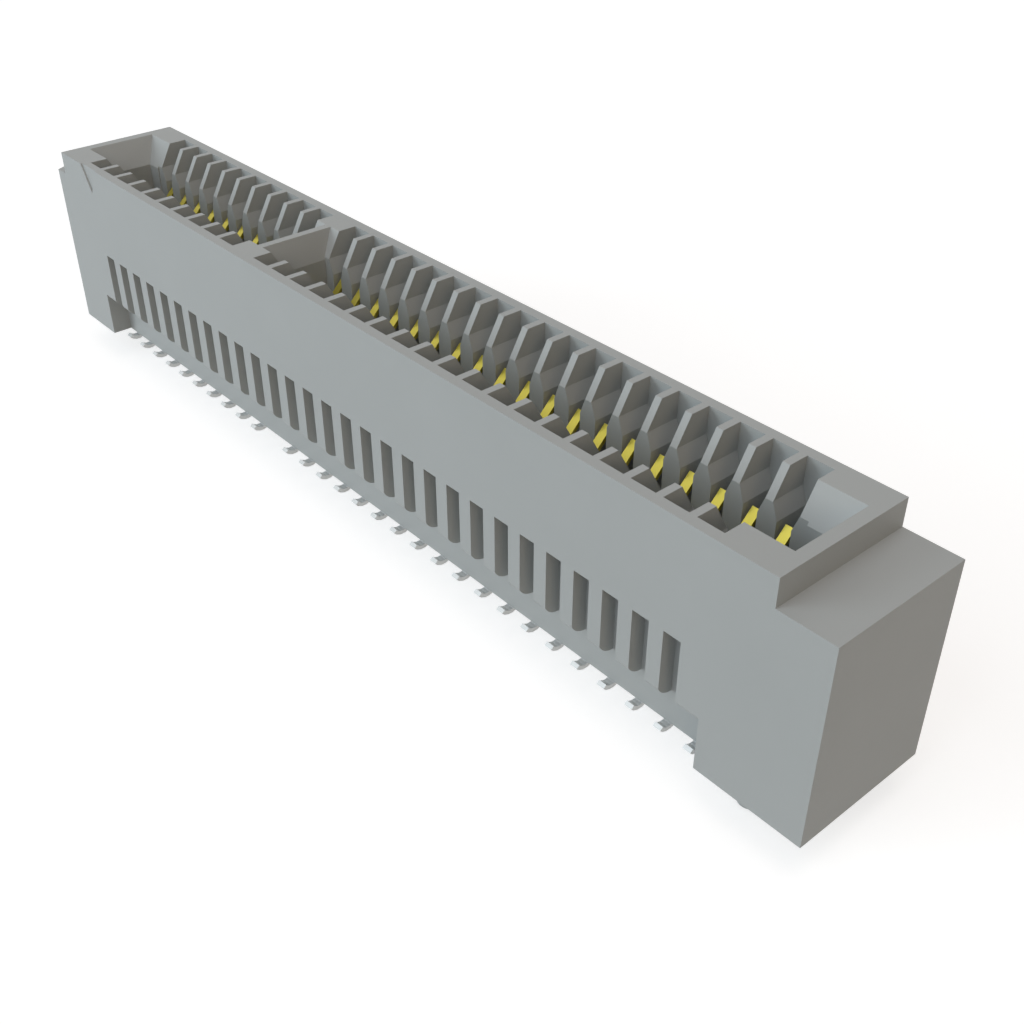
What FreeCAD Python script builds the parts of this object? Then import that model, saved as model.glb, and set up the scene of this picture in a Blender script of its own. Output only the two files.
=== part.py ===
import FreeCAD, Part
import math
import os
import re

import Sketcher

# Sizes in millimetres, angles in degrees.
# Heights of the housing are taken from the underside of its feet,
# widths run across the card slot and lengths run along it.
SIZES = {
    # Rows of contacts
    "pitch": 1.27,
    "positions": 30,
    "keyed_position": 11,
    # Outside of the housing
    "body_width": 5.573,
    "body_height": 8.491,
    "board_gap": 0.25,
    "end_length": 2.702,
    "shelf_length": 2.028,
    "shelf_height": 7.477,
    "corner_cut_length": 1.25,
    "corner_cut_width": 2.4,
    # Recess between the feet
    "foot_start": 0.655,
    "recess_depth": 0.885,
    "recess_height": 1.66,
    "brow_drop": 0.41,
    # Slots up both outer faces
    "relief_width": 0.685,
    "relief_height": 4.37,
    "relief_depth": 0.612,
    # Contact cavities and the ribs that part them
    "outer_wall": 0.41,
    "rib_top": 0.28,
    "rib_thickness": 0.72,
    "ridge_height": 7.48,
    "rib_shoulder_height": 6.86,
    "relief_roof": 0.23,
    "inner_wall": 0.2,
    "spine_thickness": 0.9,
    "floor_height": 1.6,
    # Card slot with its lead-in, end guides and key
    "card_depth": 5.9,
    "slot_width": 2.0,
    "guide_width": 1.88,
    "lead_in_width": 3.19,
    "lead_in_angle": 30,
    "end_wall": 0.47,
    "guide_land": 0.3175,
    "key_top": 0.33,
    "key_thickness": 1.0,
    # Pegs under the feet
    "peg_diameter": 0.89,
    "peg_length": 1.48,
    "peg_end_offset": 1.835,
    "peg_row_offset": 1.27,
    # Triangle that marks position 1
    "mark_width": 1.4,
    "mark_height": 1.21,
    "mark_depth": 0.08,
    # Contacts, bent from strip
    "strip_width": 0.33,
    "strip_thickness": 0.16,
    "leg_spacing": 3.013,
    "tail_radius": 0.45,
    "tail_start_angle": 225,
    "toe_angle": 40,
    "beam_tilt": 12,
    "bump_radius": 0.32,
    "bump_height": 5.8,
    "contact_gap": 1.2,
    "flare_angle": 45,
    "flare_length": 0.87,
    # Room round the contacts in the floor
    "fit_clearance": 0.01,
    "tail_clearance": 0.04,
}

# Short flats that make up each bend of a contact
TAIL_FLATS = 6
BUMP_FLATS = 3

# Values that follow from the sizes
DERIVED = {
    "row_half": "pitch * (positions - 1) / 2",
    "upper_half": "row_half + end_length",
    "lower_half": "upper_half + shelf_length",
    "foot_half": "row_half + foot_start",
    "front": "body_width / 2",
    "recess_wall": "front - recess_depth",
    "brow_radius": "(relief_depth ^ 2 + brow_drop ^ 2) / (2 * brow_drop)",
    "relief_half": "relief_width / 2",
    "cavity_half": "(pitch - rib_top) / 2",
    "throat_half": "(pitch - rib_thickness) / 2",
    "cavity_back": "front - outer_wall",
    "step_height": "relief_height + relief_roof",
    "lower_back": "recess_wall - inner_wall",
    "slot_floor": "body_height - card_depth",
    "knee_height": "body_height - (lead_in_width - slot_width) / 2 / tan(lead_in_angle)",
    "guide_drop": "(lead_in_width - guide_width) / 2 / tan(lead_in_angle)",
    "guide_height": "body_height - guide_drop",
    "slot_end": "upper_half - end_wall",
    "guide_end": "slot_end - guide_drop * tan(lead_in_angle)",
    "rib_end": "row_half + cavity_half + guide_land",
    "key_place": "pitch * keyed_position - pitch * (positions + 1) / 2",
    "leg": "leg_spacing / 2",
    "half_strip": "strip_thickness / 2",
    "tail_centre": "leg + tail_radius",
    "tail_centre_height": "tail_radius + half_strip",
    "tail_rise": "tail_centre_height - board_gap",
    "tail_clear": "sqrt(max(0; (tail_radius - half_strip) ^ 2 - tail_rise ^ 2))",
    "passage_in": "leg - half_strip - fit_clearance",
    "passage_out": "tail_centre - tail_clear + tail_clearance",
    "passage_half": "strip_width / 2 + fit_clearance",
    "bump_centre": "contact_gap / 2 + half_strip + bump_radius",
    "bump_centre_height": "board_gap + bump_height",
    "beam_rise": "(leg - bump_centre + bump_radius * cos(beam_tilt)) / tan(beam_tilt)",
    "bend_height": "bump_centre_height - bump_radius * sin(beam_tilt) - beam_rise",
}

doc = FreeCAD.newDocument("card_edge_connector")
sheet = doc.addObject("Spreadsheet::Sheet", "Sizes")


def bound(text):
    """The expression with each named value read from the sheet."""
    return re.sub(r"[a-z_]+", lambda m: "Sizes." + m[0] if m[0] in NAMES else m[0], text)


NAMES = set(SIZES) | set(DERIVED)
for row, (name, size) in enumerate(SIZES.items(), 1):
    sheet.set(f"A{row}", name)
    sheet.set(f"B{row}", str(size))
    sheet.setAlias(f"B{row}", name)
for row, (name, formula) in enumerate(DERIVED.items(), len(SIZES) + 1):
    sheet.set(f"A{row}", name)
    sheet.set(f"B{row}", "=" + formula)
    sheet.setAlias(f"B{row}", name)
doc.recompute()


def value(text):
    return float(sheet.evalExpression(text))


def plane(body, role):
    return next(item for item in body.Origin.OriginFeatures if item.Role == role)


def new_sketch(body, name, role, lift="0", shift="0"):
    """A sketch on an origin plane, lifted along its normal and shifted along its first axis."""
    sketch = body.newObject("Sketcher::SketchObject", name)
    sketch.AttachmentSupport = [(plane(body, role), "")]
    sketch.MapMode = "FlatFace"
    sketch.setExpression("AttachmentOffset.Base.z", bound(lift))
    sketch.setExpression("AttachmentOffset.Base.x", bound(shift))
    return sketch


def bind(sketch, limits):
    """Adds constraints whose values follow the sheet."""
    first = sketch.ConstraintCount
    sketch.addConstraint([Sketcher.Constraint(*parts, value(text)) for *parts, text in limits])
    for index, limit in enumerate(limits, first):
        sketch.setExpression(f"Constraints[{index}]", bound(limit[-1]))


def outline(sketch, corners, centres={}):
    """A closed outline; a side listed in centres is an arc round that centre."""
    first = sketch.GeometryCount
    sides = []
    count = len(corners)
    points = [FreeCAD.Vector(value(x), value(y), 0) for x, y in corners]
    ends = []
    for i, start in enumerate(points):
        end = points[(i + 1) % count]
        if i not in centres:
            sides.append(Part.LineSegment(start, end))
            ends.append((1, 2))
            continue
        centre = FreeCAD.Vector(value(centres[i][0]), value(centres[i][1]), 0)
        radius = (start - centre).Length
        forward = (start - centre).cross(end - centre).z > 0
        low, high = (start, end) if forward else (end, start)
        circle = Part.Circle(centre, FreeCAD.Vector(0, 0, 1), radius)
        angles = [math.atan2(p.y - centre.y, p.x - centre.x) for p in (low, high)]
        sides.append(Part.ArcOfCircle(circle, *angles))
        ends.append((1, 2) if forward else (2, 1))
    sketch.addGeometry(sides)
    joins = []
    limits = []
    for i, (x, y) in enumerate(corners):
        after = (i + 1) % count
        join = (first + i, ends[i][1], first + after, ends[after][0])
        joins.append(Sketcher.Constraint("Coincident", *join))
        across = ("DistanceX", first + i, ends[i][0], x)
        along = ("DistanceY", first + i, ends[i][0], y)
        before = (i - 1) % count
        if before not in centres:
            limits += [across, along]
            continue
        arm = [abs(value(a) - value(b)) for a, b in zip(corners[i], centres[before])]
        limits.append(along if arm[0] > arm[1] else across)
    for i, (x, y) in centres.items():
        limits += [("DistanceX", first + i, 3, x), ("DistanceY", first + i, 3, y)]
    sketch.addConstraint(joins)
    bind(sketch, limits)


def box(x0, x1, y0, y1):
    """Corners of a rectangle."""
    return [(x0, y0), (x1, y0), (x1, y1), (x0, y1)]


def feature(body, kind, name, sketch, length=None, both_ways=False, backward=False):
    """A pad, pocket or other feature made from a sketch, with its length bound."""
    made = body.newObject("PartDesign::" + kind, name)
    made.Profile = sketch
    made.Refine = kind == "Pad"
    if length:
        made.setExpression("Length", bound(length))
        made.Reversed = backward
        if both_ways:
            made.SideType = "Symmetric"
    return made


def pattern(body, name, originals, length, occurrences):
    made = body.newObject("PartDesign::LinearPattern", name)
    made.Originals = originals
    made.Direction = (plane(body, "X_Axis"), [""])
    made.setExpression("Length", bound(length))
    made.setExpression("Occurrences", bound(occurrences))
    made.Refine = False
    body.Tip = made


def housing_blocks(body):
    """The long lower block with its cut corner, and the taller block on it."""
    sketch = new_sketch(body, "LowerOutline", "XY_Plane")
    outline(sketch, [("corner_cut_length - lower_half", "-front"), ("lower_half", "-front"),
                     ("lower_half", "front"), ("-lower_half", "front"),
                     ("-lower_half", "corner_cut_width - front")])
    feature(body, "Pad", "LowerBlock", sketch, "shelf_height")
    sketch = new_sketch(body, "UpperOutline", "XY_Plane")
    outline(sketch, box("-upper_half", "upper_half", "-front", "front"))
    feature(body, "Pad", "UpperBlock", sketch, "body_height")


def housing_cavities(body):
    """One cavity for each pair of contacts either side of the key, narrower below the ribs' tops."""
    for side, start, count in (("Left", "-row_half", "keyed_position - 1"),
                               ("Right", "key_place + pitch", "positions - keyed_position")):
        sketch = new_sketch(body, side + "CavityOutline", "XZ_Plane", shift=start)
        outline(sketch, [("-cavity_half", "body_height"), ("-cavity_half", "ridge_height"),
                         ("-throat_half", "rib_shoulder_height"), ("-throat_half", "step_height"),
                         ("throat_half", "step_height"), ("throat_half", "rib_shoulder_height"),
                         ("cavity_half", "ridge_height"), ("cavity_half", "body_height")])
        made = [feature(body, "Pocket", side + "Cavity", sketch, "2 * cavity_back", both_ways=True)]
        levels = (
            ("LowerCavity", "throat_half", "spine_thickness / 2", "lower_back",
             "floor_height", "step_height - floor_height"),
            ("Passage", "passage_half", "passage_in", "passage_out", "0", "floor_height"),
        )
        for name, half, near, far, base, height in levels:
            sketch = new_sketch(body, side + name + "Outline", "XY_Plane", base, start)
            outline(sketch, box("-" + half, half, near, far))
            outline(sketch, box("-" + half, half, "-" + far, "-" + near))
            made.append(feature(body, "Pocket", side + name, sketch, height, backward=True))
        pattern(body, side + "Cavities", made, f"pitch * ({count} - 1)", count)


def housing_recess(body):
    """The recess between the feet, under a rounded brow, along both sides."""
    sketch = new_sketch(body, "RecessOutline", "YZ_Plane")
    for side in ("-", ""):
        brow_end = f"{side}(front - relief_depth)"
        outline(sketch, [(side + "front", "0"), (side + "front", "recess_height + brow_drop"),
                         (brow_end, "recess_height"), (side + "recess_wall", "recess_height"),
                         (side + "recess_wall", "0")],
                {1: (brow_end, "recess_height + brow_radius")})
    feature(body, "Pocket", "Recess", sketch, "2 * foot_half", both_ways=True)


def housing_reliefs(body):
    """The slots up both outer faces, each in line with a rib."""
    sketch = new_sketch(body, "ReliefOutline", "XY_Plane", shift="pitch / 2 - row_half")
    for side in ("-", ""):
        back = f"{side}(front - relief_depth)"
        outline(sketch, box("-relief_half", "relief_half", side + "front", back))
    slot = feature(body, "Pocket", "Relief", sketch, "relief_height", backward=True)
    pattern(body, "Reliefs", [slot], "pitch * (positions - 2)", "positions - 1")


def housing_card_slot(body):
    """The card slot either side of the key, with sloping lead-ins and narrower end guides."""
    half_top = "lead_in_width / 2"
    half_guide = "guide_width / 2"
    half_slot = "slot_width / 2"
    spans = {
        "Left": (("-slot_end", "key_place - key_top / 2"),
                 ("-guide_end", "key_place - key_thickness / 2"),
                 ("-rib_end", "key_place - key_thickness / 2")),
        "Right": (("key_place + key_top / 2", "slot_end"),
                  ("key_place + key_thickness / 2", "guide_end"),
                  ("key_place + key_thickness / 2", "rib_end")),
    }
    for side, (top, guide, ribs) in spans.items():
        upper = new_sketch(body, side + "MouthOutline", "XY_Plane", "body_height")
        outline(upper, box(*top, "-" + half_top, half_top))
        lower = new_sketch(body, side + "LeadInOutline", "XY_Plane", "guide_height")
        outline(lower, box(*guide, "-" + half_guide, half_guide))
        lead_in = feature(body, "SubtractiveLoft", side + "LeadIn", upper)
        lead_in.Sections = [lower]
        lead_in.Ruled = True
        sketch = new_sketch(body, side + "GuideOutline", "XY_Plane", "guide_height")
        outline(sketch, box(*guide, "-" + half_guide, half_guide))
        feature(body, "Pocket", side + "Guide", sketch, "guide_height - slot_floor")
        sketch = new_sketch(body, side + "SlotOutline", "XY_Plane", "knee_height")
        outline(sketch, box(*ribs, "-" + half_slot, half_slot))
        feature(body, "Pocket", side + "Slot", sketch, "knee_height - slot_floor")


def housing_pegs(body):
    """A round peg under each foot, one either side of the middle line."""
    sketch = new_sketch(body, "PegOutline", "XY_Plane")
    up = FreeCAD.Vector(0, 0, 1)
    places = (("-(row_half + peg_end_offset)", "peg_row_offset"),
              ("row_half + peg_end_offset", "-peg_row_offset"))
    for index, (x, y) in enumerate(places):
        centre = FreeCAD.Vector(value(x), value(y), 0)
        sketch.addGeometry(Part.Circle(centre, up, value("peg_diameter / 2")))
        bind(sketch, [("DistanceX", index, 3, x), ("DistanceY", index, 3, y),
                      ("Diameter", index, "peg_diameter")])
    feature(body, "Pad", "Pegs", sketch, "peg_length", backward=True)


def housing_mark(body):
    """The shallow triangle over position 1 on the front face."""
    sketch = new_sketch(body, "MarkOutline", "XZ_Plane", "front", "-row_half")
    outline(sketch, [("-mark_width / 2", "body_height"), ("0", "body_height - mark_height"),
                     ("mark_width / 2", "body_height")])
    feature(body, "Pocket", "Mark", sketch, "mark_depth")


def make_housing():
    body = doc.addObject("PartDesign::Body", "housing")
    body.Label = "housing"
    body.setExpression("Placement.Base.z", bound("board_gap"))
    for step in (housing_blocks, housing_recess, housing_card_slot, housing_pegs,
                 housing_mark, housing_cavities, housing_reliefs):
        step(body)
    return body


def turn(centre, radius, start, stop, count):
    """Corners of a bend from one angle to another, made of short flats round the same arc."""
    half = f"({stop} - {start}) / {2 * count}"
    corners = []
    for place in range(1, 2 * count, 2):
        angle = f"({start} + {place} * {half})"
        corners.append((f"{centre[0]} + {radius} * cos({angle}) / cos({half})",
                        f"{centre[1]} + {radius} * sin({angle}) / cos({half})"))
    return corners


def strip_edge(side):
    """One edge of the bent strip from toe to tip; the + side faces the board and the card."""
    other = "-" if side == "+" else "+"
    tail = f"(tail_radius {side} half_strip)"
    bump = f"(bump_radius {side} half_strip)"
    tail_turn = ("-tail_centre", "tail_centre_height")
    bump_turn = ("-bump_centre", "bump_centre_height")
    toe = f"{tail} / cos(toe_angle + 180 - tail_start_angle)"
    upright = "360"
    corners = [(f"{tail_turn[0]} - {toe} * cos(toe_angle)",
                f"{tail_turn[1]} - {toe} * sin(toe_angle)")]
    corners += turn(tail_turn, tail, "tail_start_angle", upright, TAIL_FLATS)
    corners.append((f"-leg {side} half_strip",
                    f"bend_height {other} half_strip * tan(beam_tilt / 2)"))
    corners += turn(bump_turn, bump, "-beam_tilt", "flare_angle", BUMP_FLATS)
    corners.append((f"{bump_turn[0]} + {bump} * cos(flare_angle) - flare_length * sin(flare_angle)",
                    f"{bump_turn[1]} + {bump} * sin(flare_angle) + flare_length * cos(flare_angle)"))
    return corners


def make_contact(row, number):
    """A contact bent from strip: curved tail, upright leg, sprung beam and flared tip."""
    body = doc.addObject("PartDesign::Body", f"contact_{row}_{number:02d}")
    body.Label = f"contact_{row}_{number:02d}"
    body.setExpression("Placement.Base.x", bound(f"pitch * ({number} - (positions + 1) / 2)"))
    if row == "rear":
        body.Placement.Rotation = FreeCAD.Rotation(FreeCAD.Vector(0, 0, 1), 180)
    sketch = new_sketch(body, "StripOutline", "YZ_Plane")
    outline(sketch, strip_edge("+") + strip_edge("-")[::-1])
    feature(body, "Pad", "Strip", sketch, "strip_width", both_ways=True)
    return body


sub_parts = [make_housing()]
for number in range(1, SIZES["positions"] + 1):
    if number != SIZES["keyed_position"]:
        sub_parts += [make_contact(row, number) for row in ("front", "rear")]
doc.recompute()

for item in doc.Objects:
    if "Invalid" in item.State or "Error" in item.State:
        raise RuntimeError(f"{item.Label} failed: {item.State}")
for sub_part in sub_parts:
    shape = sub_part.Shape
    if shape.isNull() or not shape.isValid() or len(shape.Solids) != 1:
        raise RuntimeError(f"{sub_part.Label} is not one valid solid")

os.makedirs("parts", exist_ok=True)
for sub_part in sub_parts:
    sub_part.Shape.exportStep(f"parts/{sub_part.Label}.step")
print(len(sub_parts), "sub-parts, housing volume", round(sub_parts[0].Shape.Volume, 3))
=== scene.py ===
import bpy
import math
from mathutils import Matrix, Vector


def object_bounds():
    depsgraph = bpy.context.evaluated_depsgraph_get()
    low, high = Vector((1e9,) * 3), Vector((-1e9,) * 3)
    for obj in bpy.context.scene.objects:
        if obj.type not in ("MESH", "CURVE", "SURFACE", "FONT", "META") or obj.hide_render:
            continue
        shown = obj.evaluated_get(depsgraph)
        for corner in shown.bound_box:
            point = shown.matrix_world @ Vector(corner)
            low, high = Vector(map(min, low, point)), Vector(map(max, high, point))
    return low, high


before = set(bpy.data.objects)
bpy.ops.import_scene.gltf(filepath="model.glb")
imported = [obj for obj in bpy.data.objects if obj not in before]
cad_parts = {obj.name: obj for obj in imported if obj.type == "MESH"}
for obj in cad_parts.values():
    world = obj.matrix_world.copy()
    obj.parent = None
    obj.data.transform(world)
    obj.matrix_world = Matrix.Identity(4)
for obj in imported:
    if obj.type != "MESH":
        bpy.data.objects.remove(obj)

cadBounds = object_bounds()
scene = bpy.context.scene
print("frame loaded")


# Small helpers for shader nodes
def newMaterial(name):
    material = bpy.data.materials.new(name)
    material.use_nodes = True
    tree = material.node_tree
    return material, tree, tree.nodes["Principled BSDF"]


def addNode(tree, kind, **settings):
    node = tree.nodes.new(kind)
    for key, setting in settings.items():
        setattr(node, key, setting)
    return node


def mixColours(tree, factor, colourA, colourB):
    mix = addNode(tree, "ShaderNodeMix", data_type="RGBA")
    # The node's socket names repeat, and only their identifiers tell them apart
    sockets = {socket.identifier: socket for socket in (*mix.inputs, *mix.outputs)}
    tree.links.new(factor, sockets["Factor_Float"])
    for identifier, colour in (("A_Color", colourA), ("B_Color", colourB)):
        if isinstance(colour, tuple):
            sockets[identifier].default_value = (*colour, 1.0)
        else:
            tree.links.new(colour, sockets[identifier])
    return sockets["Result_Color"]


def mapRange(tree, source, low, high):
    level = addNode(tree, "ShaderNodeMapRange")
    level.inputs["To Min"].default_value = low
    level.inputs["To Max"].default_value = high
    tree.links.new(source, level.inputs["Value"])
    return level.outputs["Result"]


def objectPlace(tree):
    return addNode(tree, "ShaderNodeTexCoord").outputs["Object"]


# Mottle group: soft clouds and a fine grain, which moulded plastic and plating both show
mottleDetail = {"Cloud": 2.0, "Grain": 4.0}    # layers of finer noise in each


def buildMottleGroup(details):
    group = bpy.data.node_groups.new("finishMottle", "ShaderNodeTree")
    group.interface.new_socket("Vector", in_out="INPUT", socket_type="NodeSocketVector")
    for name in details:
        group.interface.new_socket(name + " Scale", in_out="INPUT", socket_type="NodeSocketFloat")
        group.interface.new_socket(name, in_out="OUTPUT", socket_type="NodeSocketFloat")
    inside = group.nodes.new("NodeGroupInput")
    outside = group.nodes.new("NodeGroupOutput")
    for name, detail in details.items():
        noise = addNode(group, "ShaderNodeTexNoise")
        noise.inputs["Detail"].default_value = detail
        group.links.new(inside.outputs["Vector"], noise.inputs["Vector"])
        group.links.new(inside.outputs[name + " Scale"], noise.inputs["Scale"])
        group.links.new(noise.outputs["Fac"], outside.inputs[name])
    return group


mottleGroup = buildMottleGroup(mottleDetail)


def addMottle(tree, place, look):
    mottle = addNode(tree, "ShaderNodeGroup", node_tree=mottleGroup)
    tree.links.new(place, mottle.inputs["Vector"])
    mottle.inputs["Cloud Scale"].default_value = look["cloudScale"]
    mottle.inputs["Grain Scale"].default_value = look["grainScale"]
    return mottle


# The grain varies the roughness and raises a fine bump
def addGrain(tree, shader, mottle, look):
    grain = mottle.outputs["Grain"]
    rough = mapRange(tree, grain, look["roughLow"], look["roughHigh"])
    tree.links.new(rough, shader.inputs["Roughness"])
    bump = addNode(tree, "ShaderNodeBump")
    bump.inputs["Distance"].default_value = look["grainHeight"]
    bump.inputs["Strength"].default_value = look["grainStrength"]
    tree.links.new(grain, bump.inputs["Height"])
    tree.links.new(bump.outputs["Normal"], shader.inputs["Normal"])


# Moulded plastic of the housing
housingLook = {
    "light": (0.415, 0.43, 0.425),
    "dark": (0.385, 0.40, 0.395),
    "cloudScale": 260.0,      # clouds about 4 mm across
    "grainScale": 9000.0,     # moulded grain about 0.1 mm across
    "grainHeight": 0.000004,
    "grainStrength": 0.35,
    "roughLow": 0.46,
    "roughHigh": 0.58,
    "specular": 0.25,
}


def makeHousingMaterial(look):
    material, tree, shader = newMaterial("mouldedPlastic")
    mottle = addMottle(tree, objectPlace(tree), look)
    colour = mixColours(tree, mottle.outputs["Cloud"], look["dark"], look["light"])
    tree.links.new(colour, shader.inputs["Base Color"])
    shader.inputs["Specular IOR Level"].default_value = look["specular"]
    addGrain(tree, shader, mottle, look)
    return material


# Plated strip of the contacts: gold over the spring, tin on the tail
contactLook = {
    "gold": (0.66, 0.575, 0.098),
    "goldDeep": (0.60, 0.515, 0.08),
    "goldMetallic": 0.75,
    "tin": (0.74, 0.76, 0.76),
    "tinDull": (0.66, 0.67, 0.66),
    "tinMetallic": 0.3,
    "platingLine": 0.0021,    # height above the board where tin gives way to gold
    "platingBlend": 0.0002,
    "cloudScale": 1400.0,     # clouds about 0.7 mm across
    "grainScale": 16000.0,
    "grainHeight": 0.000002,
    "grainStrength": 0.25,
    "roughLow": 0.26,
    "roughHigh": 0.42,
}


def makeContactMaterial(look):
    material, tree, shader = newMaterial("platedStrip")
    place = objectPlace(tree)
    mottle = addMottle(tree, place, look)
    split = addNode(tree, "ShaderNodeSeparateXYZ")
    tree.links.new(place, split.inputs["Vector"])
    plating = addNode(tree, "ShaderNodeMapRange")
    plating.inputs["From Min"].default_value = look["platingLine"] - look["platingBlend"]
    plating.inputs["From Max"].default_value = look["platingLine"] + look["platingBlend"]
    tree.links.new(split.outputs["Z"], plating.inputs["Value"])
    isGold = plating.outputs["Result"]
    gold = mixColours(tree, mottle.outputs["Cloud"], look["goldDeep"], look["gold"])
    tin = mixColours(tree, mottle.outputs["Cloud"], look["tinDull"], look["tin"])
    tree.links.new(mixColours(tree, isGold, tin, gold), shader.inputs["Base Color"])
    metallic = mapRange(tree, isGold, look["tinMetallic"], look["goldMetallic"])
    tree.links.new(metallic, shader.inputs["Metallic"])
    addGrain(tree, shader, mottle, look)
    return material


housingMaterial = makeHousingMaterial(housingLook)
contactMaterial = makeContactMaterial(contactLook)
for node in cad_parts:
    finish = housingMaterial if node == "housing" else contactMaterial
    for slot in bpy.data.objects[node].material_slots:
        slot.material = finish
print("materials assigned")


# Backdrop: a pale floor that keeps the shadow, and a sky. Both read as white to the camera
# and in reflections, and otherwise light the part only by their own colours.
stageLook = {
    "floorSize": 0.4,
    "floorGap": 0.0001,       # below the lowest point of the part
    "floorColour": (0.55, 0.55, 0.55),
    "floorRough": 0.9,
    "floorLift": 0.645,
    "skyColour": (1.0, 0.95, 0.88),
    "skyLevel": 0.19,
    "seenColour": (1.0, 1.0, 1.0),
    "skySeen": 1.0,
}


def seenDirectly(tree):
    path = addNode(tree, "ShaderNodeLightPath")
    seen = path.outputs["Is Camera Ray"]
    for ray in ("Is Glossy Ray", "Is Transmission Ray"):
        either = addNode(tree, "ShaderNodeMath", operation="MAXIMUM")
        tree.links.new(seen, either.inputs[0])
        tree.links.new(path.outputs[ray], either.inputs[1])
        seen = either.outputs["Value"]
    return seen


def makeFloor(look):
    bpy.ops.object.select_all(action="DESELECT")
    floorHeight = cadBounds[0][2] - look["floorGap"]
    bpy.ops.mesh.primitive_plane_add(size=look["floorSize"], location=(0, 0, floorHeight))
    floor = bpy.context.object
    floor.name = "floor"
    material, tree, shader = newMaterial("paleFloor")
    shader.inputs["Base Color"].default_value = (*look["floorColour"], 1.0)
    shader.inputs["Roughness"].default_value = look["floorRough"]
    shader.inputs["Emission Color"].default_value = (*look["seenColour"], 1.0)
    lift = mapRange(tree, seenDirectly(tree), 0.0, look["floorLift"])
    tree.links.new(lift, shader.inputs["Emission Strength"])
    floor.data.materials.append(material)


def makeSky(look):
    world = bpy.data.worlds.new("studio")
    world.use_nodes = True
    scene.world = world
    tree = world.node_tree
    background = tree.nodes["Background"]
    seen = seenDirectly(tree)
    tint = mixColours(tree, seen, look["skyColour"], look["seenColour"])
    tree.links.new(tint, background.inputs["Color"])
    level = mapRange(tree, seen, look["skyLevel"], look["skySeen"])
    tree.links.new(level, background.inputs["Strength"])


makeFloor(stageLook)
makeSky(stageLook)


# Soft studio lamps: place and size in metres, power in watts, and the point they all face
lampTarget = (0, 0, 0.004)
lampLook = {
    "key": {"place": (-0.28, -0.46, 0.16), "size": 0.24, "power": 1.28,
            "colour": (0.83, 0.94, 1.0)},
    "front": {"place": (0.0, -0.2475, 0.2515), "size": 0.20, "power": 0.35,
              "colour": (0.77, 0.89, 1.0)},
    "side": {"place": (0.29, -0.1544, 0.1237), "size": 0.15, "power": 0.13,
             "colour": (1.0, 0.79, 0.55)},
    "top": {"place": (0.06, -0.04, 0.28), "size": 0.16, "power": 0.165,
            "colour": (1.0, 0.86, 0.79)},
    "back": {"place": (0.0, 0.34, 0.0887), "size": 0.20, "power": 0.32,
             "colour": (1.0, 1.0, 1.0)},
}


def makeLamps(lamps):
    for name, lamp in lamps.items():
        light = bpy.data.lights.new(name + "Lamp", "AREA")
        light.size = lamp["size"]
        light.energy = lamp["power"]
        light.color = lamp["colour"]
        holder = bpy.data.objects.new(name + "Lamp", light)
        holder.location = lamp["place"]
        aim = Vector(lampTarget) - Vector(lamp["place"])
        holder.rotation_euler = aim.to_track_quat("-Z", "Y").to_euler()
        scene.collection.objects.link(holder)


makeLamps(lampLook)
print("stage and lamps set")


# Camera at the photograph's viewing angle
cameraLook = {
    "place": (0.0357425, -0.0244425, 0.028439),
    "turn": (55.0224, 0.0262, 49.1204),    # degrees
    "lens": 44.2437,
    "sensor": 36.0,
    "nearest": 0.001,         # nothing closer than this is drawn
}


def makeCamera(look):
    data = bpy.data.cameras.new("camera")
    data.lens = look["lens"]
    data.sensor_width = look["sensor"]
    data.clip_start = look["nearest"]
    camera = bpy.data.objects.new("camera", data)
    camera.location = look["place"]
    camera.rotation_euler = [math.radians(angle) for angle in look["turn"]]
    scene.collection.objects.link(camera)
    scene.camera = camera


makeCamera(cameraLook)
scene.view_settings.view_transform = "Standard"
print("camera set")
